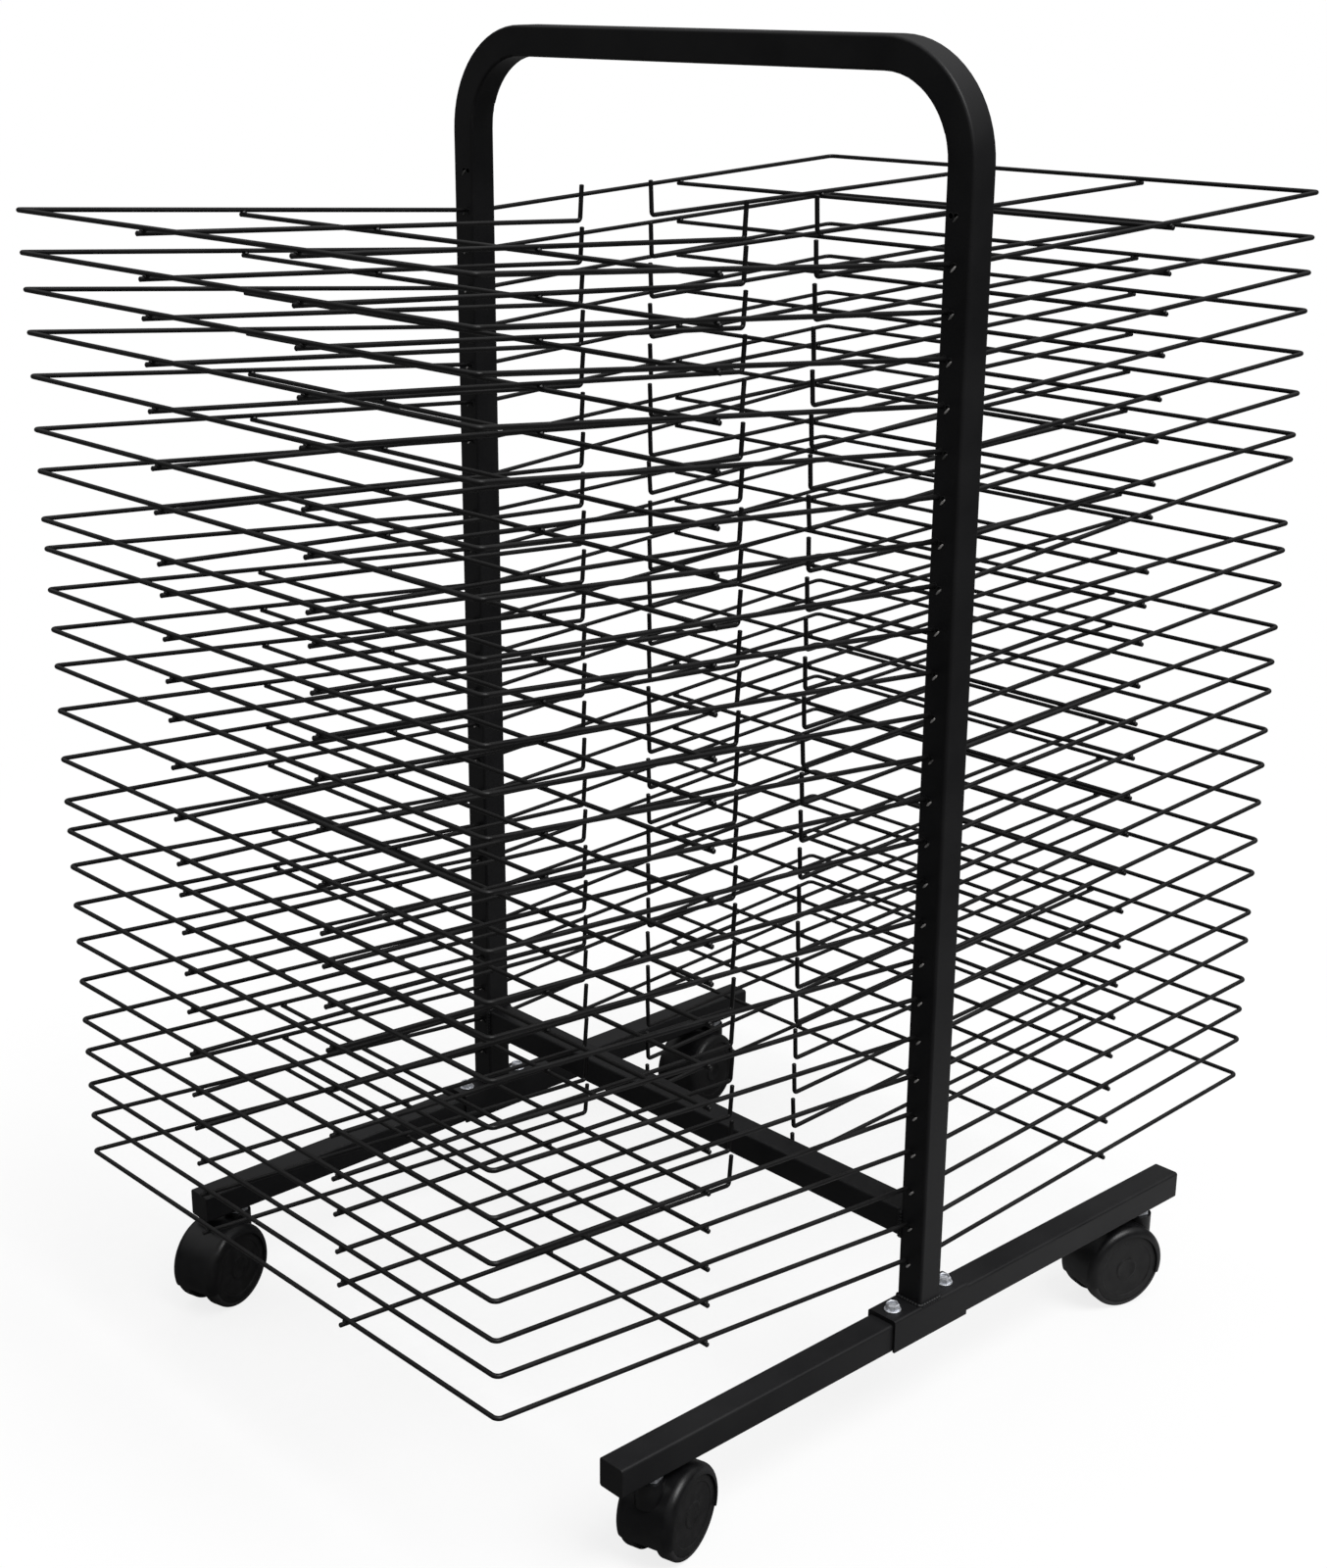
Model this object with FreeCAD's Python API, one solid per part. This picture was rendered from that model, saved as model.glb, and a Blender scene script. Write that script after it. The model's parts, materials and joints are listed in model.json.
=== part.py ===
import FreeCAD, Part
import math
import os

# Double-sided drying rack for artwork: a bent square-tube arch with drilled posts stands on two
# tube feet with castors, and carries wire shelves that plug into the posts from both sides.
#
# Row frame, millimetres: origin on the floor under the middle of the rack. +Z is up, +X runs along
# the arch from the left post to the right post, -Y is the front side and +Y the rear side.
# Left is -X, right is +X.

Vec = FreeCAD.Vector
X_AXIS = Vec(1, 0, 0)
Y_AXIS = Vec(0, 1, 0)
Z_AXIS = Vec(0, 0, 1)
ORIGIN = Vec(0, 0, 0)

# ---- driving dimensions (mm, degrees) ----
# square tube of the arch, the crossbar and the feet
tube = 25.0
tube_wall = 1.5
tube_corner = 2.5

# arch
post_spacing = 551.0            # between the middles of the two posts
arch_height = 1100.5            # top of the arch above the floor
bend_radius = 75.0              # middle line of the tube in the two bends

# crossbar between the posts
crossbar_height = 167.0         # its underside above the floor

# feet
foot_overhang = 40.0            # each foot's ends, with their caps, past the castor stems
cap_thickness = 3.0
cap_edge = 1.0                  # rounding round the cap's outer face
cap_plug_length = 14.0
cap_plug_clearance = 0.15       # between the plug and the tube's inner wall

# saddle: the upturned channel under each post that sits over the foot
saddle_length = 90.0
saddle_top = 4.0
saddle_side = 2.0
saddle_clearance = 0.2          # between the saddle's sides and the foot

# bolts through saddle and foot
bolt_diameter = 6.0
bolt_spacing = 64.0
bolt_hole_clearance = 0.3       # all round
bolt_head_across = 10.0
bolt_head_height = 4.0
bolt_tip = 2.0                  # thread that stands out under the nut
nut_height = 5.0
washer_diameter = 14.0
washer_thickness = 1.2

# shelves
tier_count = 25
spare_hole_drop = 120.4         # top of the arch to the unused holes above the top shelf
lowest_hole_height = 147.6      # holes of the lowest shelf above the floor
wire = 3.8                      # wire diameter
wire_hole_clearance = 0.1       # all round, in the holes of the posts
wire_offset = 2.5               # front shelves sit this far to the left, rear shelves to the right
wire_end_margin = 0.5           # the wire's end stays this far inside the post's far face
weld_gap = 0.02                 # wires that are welded where they cross
shelf_inset = 4.0               # side wires sit this far inside the middles of the posts
shelf_depth = 445.0             # middle of the rack to the outer wire
shelf_corner = 5.0              # middle line of the wire at the two outer corners
stop_distance = 37.5            # middle of the rack to the paper stops
stop_gap = 1.7                  # top of the stops to the next shelf's frame wire
stop_bend_radius = 3.0          # middle line of the wire where it turns up
cross_wire_share = 0.343        # spacing of the two cross wires, as a share of the shelf's width
mid_wire_overhang = 3.5         # past the middle of the side wires
cross_wire_overhang = 5.0       # past the middle of the outer wire

# how far the outer edge of each shelf stands above its hole, from the top tier down
front_rises = [31, 33, 39, 40, 40, 32, 33, 28, 38, 38, 39, 42, 38,
               30, 27, 35, 37, 36, 37, 34, 32, 36, 38, 43, 42]
rear_rises = [21, 18, 23, 25, 23, 23, 21, 34, 11, 21, 24, 19, 21,
              28, 25, 26, 24, 21, 23, 18, 24, 18, 22, 25, 22]

# single shelves on each side that have a node of their own, counted from the top
single_shelves = 17

# castors
castor_height = 83.5            # floor to the underside of the foot
stem_distance = 302.0           # middle of the rack to each stem
stem_diameter = 10.0
stem_depth_in_hood = 26.0
stem_running_clearance = 0.05
collar_across = 17.0
collar_height = 5.0
collar_gap = 0.3                # between the collar and the hood's boss
stem_thread_height = 14.0       # above the foot's lower wall
stem_nut_across = 16.0
stem_nut_height = 8.0
wheel_diameter = 75.0
wheel_width = 13.5
wheel_shoulder = 5.0
wheel_dish = 0.7
wheel_dish_radius = 26.0
axle_end_cover = 2.4            # wheel left outside the axle's end
wheel_side_clearance = 0.5      # between a wheel and the web
trail = 26.0                    # stem to axle, level
web_half_width = 9.0
hood_wall = 1.7
hood_clearance = 0.8            # between the tread and the inside of the hood
hood_side_clearance = 0.4       # between the wheel's outer face and the inside of the hood
hood_end_angle = 18.0           # how far below the axle the hood ends
hub_radius = 14.0
boss_radius = 12.0
boss_bottom = 56.0              # where the boss runs out in the hood, above the floor
axle_diameter = 8.0
axle_running_clearance = 0.05

# where each castor's wheels lie from its stem, in degrees from +X, counter-clockwise from above
castor_headings = {"front_right": 105.9, "front_left": -74.7, "rear_right": -106.2, "rear_left": -80.0}

# how close a coordinate or a direction has to be to count as the same
same = 0.01

# ---- places worked out from the dimensions ----
post_x = post_spacing / 2.0
foot_length = 2 * (stem_distance + foot_overhang)
foot_top = castor_height + tube
arch_bottom = foot_top + saddle_top
spring_line = arch_height - tube / 2.0 - bend_radius
spare_hole_height = arch_height - spare_hole_drop
tier_pitch = (spare_hole_height - lowest_hole_height) / tier_count
stop_height = tier_pitch - stop_gap
shelf_width = post_spacing - 2 * shelf_inset
wire_radius = wire / 2.0
wire_hole_radius = wire_radius + wire_hole_clearance
crossing = wire + weld_gap
mid_distance = (stop_distance + shelf_depth) / 2.0
wheel_radius = wheel_diameter / 2.0
wheel_inner_face = web_half_width + wheel_side_clearance
wheel_outer_face = wheel_inner_face + wheel_width
cavity_radius = wheel_radius + hood_clearance
hood_radius = cavity_radius + hood_wall
collar_top = castor_height
boss_top = collar_top - collar_height - collar_gap
margin = 5.0                    # how far cutting tools run past what they cut


# ---- small makers ----
def box(x0, x1, y0, y1, z0, z1):
    """An upright block between two corners."""
    return Part.makeBox(x1 - x0, y1 - y0, z1 - z0, Vec(x0, y0, z0))


def cylinder(radius, start, end):
    """A round bar between two points."""
    run = end - start
    return Part.makeCylinder(radius, run.Length, start, run)


def hexagon(across, z0, z1, centre):
    """A hexagonal bar standing on a level plane, with its across-flats size."""
    corner = across / math.sqrt(3.0)
    points = [Vec(centre.x + corner * math.cos(math.radians(60 * i)),
                  centre.y + corner * math.sin(math.radians(60 * i)), z0) for i in range(7)]
    return Part.Face(Part.makePolygon(points)).extrude(Vec(0, 0, z1 - z0))


def rounded_square(side, corner):
    """The outline of a square tube, in the level plane, centred on the origin."""
    half = side / 2.0
    block = Part.makeBox(side, side, 1.0, Vec(-half, -half, 0))
    upright = [edge for edge in block.Edges if abs(edge.tangentAt(edge.FirstParameter).z) > 1.0 - same]
    rounded = block.makeFillet(corner, upright)
    low = min(rounded.Faces, key=lambda face: face.CenterOfMass.z)
    return low.OuterWire


def tube_section():
    """The square tube's cut end, a face in the level plane."""
    outer = Part.Face(rounded_square(tube, tube_corner))
    inner = Part.Face(rounded_square(tube - 2 * tube_wall, tube_corner - tube_wall))
    return outer.cut(inner).Faces[0]


def fuse_all(shapes):
    """One solid from pieces that touch or overlap."""
    return shapes[0].multiFuse(shapes[1:]).removeSplitter()


def cut_all(body, tools):
    """Cut several tools from a body."""
    return body.cut(Part.makeCompound(tools))


def bent_wire(points, bend):
    """Round wire through the points, with a tangent arc of the given radius at each turn."""
    pieces = []
    start = points[0]
    for before, corner, after in zip(points, points[1:], points[2:]):
        arriving = (corner - before).normalize()
        leaving = (after - corner).normalize()
        turn = arriving.getAngle(leaving)
        setback = bend * math.tan(turn / 2.0)
        arc_start = corner - arriving * setback
        axis = arriving.cross(leaving).normalize()
        centre = arc_start + axis.cross(arriving) * bend
        pieces.append(cylinder(wire_radius, start, arc_start))
        section = Part.Face(Part.Wire(Part.makeCircle(wire_radius, arc_start, arriving)))
        pieces.append(section.revolve(centre, axis, math.degrees(turn)))
        start = corner + leaving * setback
    pieces.append(cylinder(wire_radius, start, points[-1]))
    return fuse_all(pieces) if len(pieces) > 1 else pieces[0]


def save(node, shapes):
    """Write one node; several solids in it stay separate."""
    shapes = shapes if isinstance(shapes, list) else [shapes]
    shape = shapes[0] if len(shapes) == 1 else Part.makeCompound(shapes)
    shape.exportStep("parts/" + node + ".step")


# ---- shelves ----
def hole_height(tier):
    """Height of a tier's holes in the post's face; tier 0 is the spare pair above the top shelf."""
    return spare_hole_height - tier_pitch * tier


def shelf_tilt(side, tier):
    """How far a shelf slopes up outwards, in degrees; the spare holes are level."""
    if tier == 0:
        return 0.0
    rises = front_rises if side == "front" else rear_rises
    return math.degrees(math.atan2(rises[(tier - 1) % len(rises)], shelf_depth))


def shelf_height(side, tier):
    """Height of the shelf's frame wire where its line crosses the middle of the rack."""
    return hole_height(tier) - tube / 2.0 * math.tan(math.radians(shelf_tilt(side, tier)))


def seat(shape, side, tier):
    """Tilt a shape from the level pattern shelf and put it on its tier and side."""
    placed = shape.copy()
    placed.translate(Vec(wire_offset, 0, 0))
    placed.rotate(ORIGIN, X_AXIS, shelf_tilt(side, tier))
    if side == "front":
        placed.rotate(ORIGIN, Z_AXIS, 180)
    placed.translate(Vec(0, 0, shelf_height(side, tier)))
    return placed


def frame_wire():
    """The shelf's bent frame wire: two side wires that plug into the posts, and the outer wire."""
    half = shelf_width / 2.0
    end = -(tube / 2.0 - wire_end_margin)
    points = [Vec(-half, end, 0), Vec(-half, shelf_depth, 0), Vec(half, shelf_depth, 0), Vec(half, end, 0)]
    return bent_wire(points, shelf_corner)


def mid_wire():
    """The straight wire halfway out, welded under the two side wires."""
    reach = shelf_width / 2.0 + mid_wire_overhang
    return cylinder(wire_radius, Vec(-reach, mid_distance, -crossing), Vec(reach, mid_distance, -crossing))


def cross_wire(x):
    """A wire that runs under the outer wire and over the mid wire, turned up as a paper stop."""
    slope = crossing / (shelf_depth - mid_distance)
    outer = shelf_depth + cross_wire_overhang
    stop_base = (mid_distance - stop_distance) * slope
    outer_drop = -(outer - mid_distance) * slope
    points = [Vec(x, outer, outer_drop), Vec(x, stop_distance, stop_base), Vec(x, stop_distance, stop_height)]
    return bent_wire(points, stop_bend_radius)


def pattern_shelf():
    """The four wires of a shelf, level, at the height of its holes."""
    reach = shelf_width * cross_wire_share / 2.0
    return [frame_wire(), mid_wire(), cross_wire(-reach), cross_wire(reach)]


def make_shelves():
    """Every shelf: the upper ones one by one, the rest of each side in one node."""
    wires = pattern_shelf()
    for side in ("front", "rear"):
        lower = []
        for tier in range(1, tier_count + 1):
            placed = [seat(piece, side, tier) for piece in wires]
            if tier <= single_shelves:
                save("%s_shelf_%02d" % (side, tier), placed)
            else:
                lower.extend(placed)
        save(side + "_lower_shelves", lower)


# ---- frame ----
def wire_holes():
    """Drills for every wire of every tier, through both walls of the posts."""
    reach = tube / 2.0 + margin
    drills = []
    for side in ("front", "rear"):
        for tier in range(tier_count + 1):
            for x in (-shelf_width / 2.0, shelf_width / 2.0):
                drill = cylinder(wire_hole_radius, Vec(x, -reach, 0), Vec(x, reach, 0))
                drills.append(seat(drill, side, tier))
    return drills


def make_arch():
    """The bent tube, drilled for the shelves."""
    section = tube_section()
    post = section.extrude(Vec(0, 0, spring_line - arch_bottom))
    pieces = []
    for side in (-1, 1):
        upright = post.copy()
        upright.translate(Vec(side * post_x, 0, arch_bottom))
        pieces.append(upright)
        end = section.copy()
        end.translate(Vec(side * post_x, 0, spring_line))
        centre = Vec(side * (post_x - bend_radius), 0, spring_line)
        pieces.append(end.revolve(centre, Y_AXIS, -90.0 * side))
    top = section.copy()
    top.rotate(ORIGIN, Y_AXIS, 90)
    top.translate(Vec(-(post_x - bend_radius), 0, arch_height - tube / 2.0))
    pieces.append(top.extrude(Vec(2 * (post_x - bend_radius), 0, 0)))
    arch = fuse_all(pieces).cut(Part.makeCompound(wire_holes()))
    save("arch", arch)


def make_crossbar():
    """The level tube welded between the posts."""
    bar = tube_section()
    bar.rotate(ORIGIN, Y_AXIS, 90)
    reach = post_x - tube / 2.0
    bar.translate(Vec(-reach, 0, crossbar_height + tube / 2.0))
    save("crossbar", bar.extrude(Vec(2 * reach, 0, 0)))


def bolt_places(x):
    """Middle of each bolt on one foot, at floor height."""
    return [Vec(x, y, 0) for y in (-bolt_spacing / 2.0, bolt_spacing / 2.0)]


def bolt_drills(x):
    """Drills for the two bolts on one foot."""
    radius = bolt_diameter / 2.0 + bolt_hole_clearance
    top = arch_bottom + margin
    return [cylinder(radius, place, Vec(place.x, place.y, top)) for place in bolt_places(x)]


def saddle(x):
    """The channel welded under a post, open downwards."""
    half_length = saddle_length / 2.0
    inner = tube / 2.0 + saddle_clearance
    outer = inner + saddle_side
    body = box(x - outer, x + outer, -half_length, half_length, castor_height, arch_bottom)
    upper = [edge for edge in body.Edges
             if edge.BoundBox.ZMin > foot_top and edge.BoundBox.YLength > saddle_length / 2.0]
    body = body.makeFillet(tube_corner, upper)
    space = box(x - inner, x + inner, -half_length - margin, half_length + margin, 0, foot_top)
    return cut_all(body, [space] + bolt_drills(x))


def foot(x):
    """The foot's square tube, with holes for the two bolts and the two castor stems."""
    run = foot_length - 2 * cap_thickness
    bar = tube_section()
    bar.rotate(ORIGIN, X_AXIS, -90)
    bar.translate(Vec(x, -run / 2.0, castor_height + tube / 2.0))
    bar = bar.extrude(Vec(0, run, 0))
    stem_hole = stem_diameter / 2.0 + bolt_hole_clearance
    lower_wall = castor_height + tube_wall + margin
    tools = bolt_drills(x)
    for y in (-stem_distance, stem_distance):
        tools.append(cylinder(stem_hole, Vec(x, y, 0), Vec(x, y, lower_wall)))
    return cut_all(bar, tools)


def end_cap(x, end):
    """A moulded cap with a plug, on the front (-1) or rear (+1) end of a foot."""
    outer_face = end * foot_length / 2.0
    inner_face = outer_face - end * cap_thickness
    plug_end = inner_face - end * cap_plug_length
    half = tube / 2.0
    middle = castor_height + half
    low, high = sorted((inner_face, outer_face))
    plate = box(x - half, x + half, low, high, middle - half, middle + half)
    along = [edge for edge in plate.Edges if edge.BoundBox.YLength > cap_thickness / 2.0]
    plate = plate.makeFillet(tube_corner, along)
    rim = [edge for edge in plate.Edges
           if abs(edge.BoundBox.YMin - outer_face) < same and edge.BoundBox.YLength < same]
    plate = plate.makeFillet(cap_edge, rim)
    plug_half = half - tube_wall - cap_plug_clearance
    low, high = sorted((plug_end, inner_face))
    plug = box(x - plug_half, x + plug_half, low, high, middle - plug_half, middle + plug_half)
    along = [edge for edge in plug.Edges if edge.BoundBox.YLength > cap_plug_length / 2.0]
    return plate.fuse(plug.makeFillet(tube_corner - tube_wall, along))


def bolt(place):
    """A hexagon bolt, head up."""
    head_base = arch_bottom + washer_thickness
    tip = castor_height - washer_thickness - nut_height - bolt_tip
    head = hexagon(bolt_head_across, head_base, head_base + bolt_head_height, place)
    shank = cylinder(bolt_diameter / 2.0, Vec(place.x, place.y, tip), Vec(place.x, place.y, head_base))
    return head.fuse(shank)


def washer(place, z0):
    """A flat washer."""
    start = Vec(place.x, place.y, z0)
    end = Vec(place.x, place.y, z0 + washer_thickness)
    hole = cylinder(bolt_diameter / 2.0 + bolt_hole_clearance, start, end)
    return cylinder(washer_diameter / 2.0, start, end).cut(hole)


def nut(place):
    """A hexagon nut under the foot."""
    top = castor_height - washer_thickness
    body = hexagon(bolt_head_across, top - nut_height, top, place)
    return body.cut(cylinder(bolt_diameter / 2.0, Vec(place.x, place.y, 0), Vec(place.x, place.y, top)))


def make_feet():
    """Feet, saddles, caps and their fasteners."""
    caps, bolts, washers, nuts = [], [], [], []
    for name, x in (("left", -post_x), ("right", post_x)):
        save(name + "_saddle", saddle(x))
        save(name + "_foot", foot(x))
        caps.extend([end_cap(x, -1), end_cap(x, 1)])
        for place in bolt_places(x):
            bolts.append(bolt(place))
            washers.append(washer(place, arch_bottom))
            washers.append(washer(place, castor_height - washer_thickness))
            nuts.append(nut(place))
    save("foot_end_caps", caps)
    save("foot_bolts", bolts)
    save("foot_washers", washers)
    save("foot_nuts", nuts)


# ---- castors: made with the stem over the origin and the wheels towards +X ----
def turned(profile, axis_point, start_angle, sweep):
    """Turn a profile about the axle, which runs along Y; the profile holds (radius, y) points."""
    wire_shape = Part.Wire(profile)
    face = Part.Face(wire_shape)
    face.rotate(ORIGIN, Y_AXIS, -start_angle)
    face.translate(axis_point)
    return face.revolve(axis_point, Y_AXIS, -sweep)


def line(a, b):
    """A straight edge between two (radius, y) points."""
    return Part.makeLine(Vec(a[0], a[1], 0), Vec(b[0], b[1], 0))


def shoulder(a, middle, b):
    """A curved edge through three (radius, y) points."""
    return Part.Arc(Vec(a[0], a[1], 0), Vec(middle[0], middle[1], 0), Vec(b[0], b[1], 0)).toShape()


def rounded_disc(radius, inner_y, outer_y, corner, side):
    """Edges of a disc's half section whose outer corner is rounded; side is -1 or +1."""
    flat = outer_y - corner
    diagonal = corner * math.sqrt(0.5)
    edge_radius = radius - corner
    arc_middle = (edge_radius + diagonal, side * (flat + diagonal))
    return [line((0, side * inner_y), (radius, side * inner_y)),
            line((radius, side * inner_y), (radius, side * flat)),
            shoulder((radius, side * flat), arc_middle, (edge_radius, side * outer_y)),
            line((edge_radius, side * outer_y), (0, side * outer_y)),
            line((0, side * outer_y), (0, side * inner_y))]


axle_place = Vec(trail, 0, wheel_radius)
hood_half_width = wheel_outer_face + hood_wall
hood_shoulder = wheel_shoulder + hood_wall + hood_clearance


def castor_hood():
    """Web, hub, boss and the cover over both wheels, one moulding."""
    sweep = 180.0 + 2 * hood_end_angle
    pieces = []
    for side in (-1, 1):
        half = rounded_disc(hood_radius, 0, hood_half_width, hood_shoulder, side)
        pieces.append(turned(half, axle_place, -hood_end_angle, sweep))
    hub_start = axle_place - Y_AXIS * web_half_width
    pieces.append(cylinder(hub_radius, hub_start, hub_start + Y_AXIS * (2 * web_half_width)))
    pieces.append(cylinder(boss_radius, Vec(0, 0, boss_bottom), Vec(0, 0, boss_top)))
    hood = fuse_all(pieces)
    tools = []
    for side in (-1, 1):
        cavity = rounded_disc(cavity_radius, web_half_width, wheel_outer_face + hood_side_clearance,
                              wheel_shoulder + hood_clearance, side)
        tools.append(turned(cavity, axle_place, 0, 360.0))
        window = cavity_radius - wheel_shoulder - hood_clearance
        start = axle_place + Y_AXIS * (side * web_half_width)
        tools.append(cylinder(window, start, start + Y_AXIS * (side * wheel_diameter)))
    axle_start = axle_place - Y_AXIS * wheel_diameter
    bore = axle_diameter / 2.0 + axle_running_clearance
    tools.append(cylinder(bore, axle_start, axle_start + Y_AXIS * (2 * wheel_diameter)))
    stem_bore = stem_diameter / 2.0 + stem_running_clearance
    stem_end = boss_top - stem_depth_in_hood
    tools.append(cylinder(stem_bore, Vec(0, 0, stem_end), Vec(0, 0, boss_top + margin)))
    return cut_all(hood, tools).removeSplitter()


def castor_wheels():
    """The twin wheels, each with a blind bore that is pressed on the axle."""
    wheels = []
    for side in (-1, 1):
        body = turned(rounded_disc(wheel_radius, wheel_inner_face, wheel_outer_face, wheel_shoulder, side),
                      axle_place, 0, 360.0)
        face = axle_place + Y_AXIS * (side * wheel_outer_face)
        body = body.cut(cylinder(wheel_dish_radius, face - Y_AXIS * (side * wheel_dish), face))
        start = axle_place + Y_AXIS * (side * wheel_inner_face)
        body = body.cut(cylinder(axle_diameter / 2.0, start, axle_end(side)))
        wheels.append(body)
    return wheels


def axle_end(side):
    """End of the axle inside one wheel."""
    return axle_place + Y_AXIS * (side * (wheel_outer_face - axle_end_cover))


def castor_axle():
    """The steel axle through the web."""
    return cylinder(axle_diameter / 2.0, axle_end(-1), axle_end(1))


def castor_stem():
    """The steel stem: journal in the hood, hexagonal collar under the foot, thread above it."""
    bottom = boss_top - stem_depth_in_hood
    top = castor_height + tube_wall + stem_thread_height
    stem = cylinder(stem_diameter / 2.0, Vec(0, 0, bottom), Vec(0, 0, top))
    return stem.fuse(hexagon(collar_across, collar_top - collar_height, collar_top, ORIGIN))


def stem_nut():
    """The nut on the stem, on the lower wall inside the foot."""
    base = castor_height + tube_wall
    body = hexagon(stem_nut_across, base, base + stem_nut_height, ORIGIN)
    return body.cut(cylinder(stem_diameter / 2.0, ORIGIN, Vec(0, 0, base + stem_nut_height)))


def make_castors():
    """Four castors, each turned to its own heading about its stem."""
    stems, nuts = [], []
    for name, heading in castor_headings.items():
        x = post_x if "right" in name else -post_x
        y = stem_distance if "rear" in name else -stem_distance

        def put(shape):
            placed = shape.copy()
            placed.rotate(ORIGIN, Z_AXIS, heading)
            placed.translate(Vec(x, y, 0))
            return placed

        save(name + "_castor_hood", put(castor_hood()))
        save(name + "_castor_wheels", [put(wheel) for wheel in castor_wheels()])
        save(name + "_castor_axle", put(castor_axle()))
        stems.append(put(castor_stem()))
        fixed_nut = stem_nut()
        fixed_nut.translate(Vec(x, y, 0))
        nuts.append(fixed_nut)
    save("castor_stems", stems)
    save("castor_stem_nuts", nuts)


os.makedirs("parts", exist_ok=True)
make_arch()
make_crossbar()
make_feet()
make_castors()
make_shelves()
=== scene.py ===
import json
import math

import bmesh
import bpy
from bpy.props import FloatProperty, FloatVectorProperty, PointerProperty
from mathutils import Matrix, Vector

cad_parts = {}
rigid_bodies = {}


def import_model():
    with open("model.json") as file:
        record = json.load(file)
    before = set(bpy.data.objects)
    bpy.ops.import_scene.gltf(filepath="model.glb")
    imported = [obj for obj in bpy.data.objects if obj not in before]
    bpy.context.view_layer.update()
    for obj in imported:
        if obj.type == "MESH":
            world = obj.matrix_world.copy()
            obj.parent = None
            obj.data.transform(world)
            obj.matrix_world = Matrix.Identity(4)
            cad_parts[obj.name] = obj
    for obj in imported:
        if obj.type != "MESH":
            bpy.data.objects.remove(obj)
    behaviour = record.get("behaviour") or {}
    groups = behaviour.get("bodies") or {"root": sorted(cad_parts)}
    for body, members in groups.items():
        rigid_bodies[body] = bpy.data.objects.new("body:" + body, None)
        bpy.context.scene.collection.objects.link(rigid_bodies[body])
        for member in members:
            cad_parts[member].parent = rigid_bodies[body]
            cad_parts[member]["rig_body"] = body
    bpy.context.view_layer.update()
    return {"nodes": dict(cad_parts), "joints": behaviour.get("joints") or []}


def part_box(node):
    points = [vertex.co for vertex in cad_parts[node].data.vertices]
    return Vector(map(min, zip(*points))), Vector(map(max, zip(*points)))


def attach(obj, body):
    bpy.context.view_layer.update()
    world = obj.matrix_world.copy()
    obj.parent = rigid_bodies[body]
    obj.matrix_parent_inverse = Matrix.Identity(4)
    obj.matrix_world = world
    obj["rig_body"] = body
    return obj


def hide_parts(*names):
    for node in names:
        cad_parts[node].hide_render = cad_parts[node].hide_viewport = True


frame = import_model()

bl_info = {
    "name": "Art drying rack",
    "version": (1, 0, 0),
    "blender": (4, 5, 0),
    "location": "3D View > Sidebar > Drying rack",
    "description": "Finishes, welds, fasteners, castor mouldings and studio of a wire drying rack",
    "category": "Add Mesh",
}

CASTORS = ("front_right", "front_left", "rear_right", "rear_left")
SHELF_NODES = sorted(name for name in frame["nodes"] if "shel" in name)
TOP_SHELF = "_01"  # what the names of the top shelves' nodes end with
UP = Vector((0, 0, 1))
MM = 0.001

# ---- sections of the turned shapes ----
# (share of the radius, share of the height) points, from the lower to the upper end
NUGGET_SECTION = ((0.0, -1.0), (0.72, -0.62), (1.0, 0.0), (0.72, 0.62), (0.0, 1.0))
TIP_SECTION = ((0.0, -1.0), (1.04, -1.0), (1.04, 0.0), (0.75, 0.7), (0.0, 1.0))
BURR_SECTION = ((0.0, -0.3), (0.8, -0.3), (1.0, 0.0), (0.85, 0.5), (0.5, 0.85), (0.0, 1.0))
# (share of the rim's width out from the hole, share of its height) points
RIM_SECTION = ((0.0, -1.0), (0.0, 0.5), (0.3, 1.0), (1.0, 0.2), (1.0, -1.0))
# a castor wheel's disc, in millimetres: its inner edge as (inset from its rim, rise over its inner
# face), its outer edge as (inset, depth under the outer face), and the dish and hub cap in its outer
# face as (radius, depth)
DISC_INNER_EDGE = ((1.5, 0.0), (1.0, 0.8), (0.3, 1.0))
DISC_OUTER_EDGE = ((0.3, 0.9), (1.0, 0.5), (3.0, 0.2))
DISC_FACE = ((26.4, 0.1), (25.6, 0.6), (11.0, 0.8), (10.4, 0.4), (9.8, 0.2), (8.6, 0.2), (8.0, 0.5),
             (0.0, 0.5))
# its tread, in millimetres: the overlap with the disc, the inner edge as (depth under the tread, rise
# over the inner face), and the groove round its middle as (depth, distance from the groove's middle)
TREAD_OVERLAP = 1.0
TREAD_INNER_EDGE = ((2.0, 0.8), (1.2, 0.2), (0.0, 1.4))
TREAD_GROOVE = ((0.0, -0.7), (0.4, -0.4), (0.4, 0.4), (0.0, 0.7))
TREAD_SHOULDER_STEPS = 6  # from the tread to its outer side

# ---- how finely the shapes are turned, in steps of a full turn ----
NUGGET_STEPS = 8
TIP_STEPS = 10
BURR_STEPS = 12
RIM_STEPS = 14
SHANK_STEPS = 24
WASHER_STEPS = 36
WHEEL_STEPS = 72

# ---- shares and angles of the fasteners, beads and burrs ----
LID_DEPTH = 0.25  # of the chamfer: the faces nearer to a bolt head's top than this are its lid
DISH_RIM = 0.16  # rim of the lid round the dish, as a share of the hexagon
DISH_WALL = 0.05  # sloping wall of the dish, in the same way
THREAD_DEPTH = 0.6  # of the pitch
THREAD_LEAD = 0.3  # of the pitch, from the bolt's end to its first turn
BEAD_RINGS = 5  # in one ripple of a weld bead
BEAD_SIDES = 8  # round the bead
BEAD_SWELL = 0.16  # of the bead's radius, at the top of a ripple
BEAD_SHARP = 60.0  # degrees from which an edge of the bead stays sharp
WHEEL_SHARP = 30.0  # and of a wheel
BURR_LEAN = -45.0  # degrees
BURR_SHIFT = 0.3  # sideways from the lower edge of its hole, as a share of the hole's radius

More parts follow.
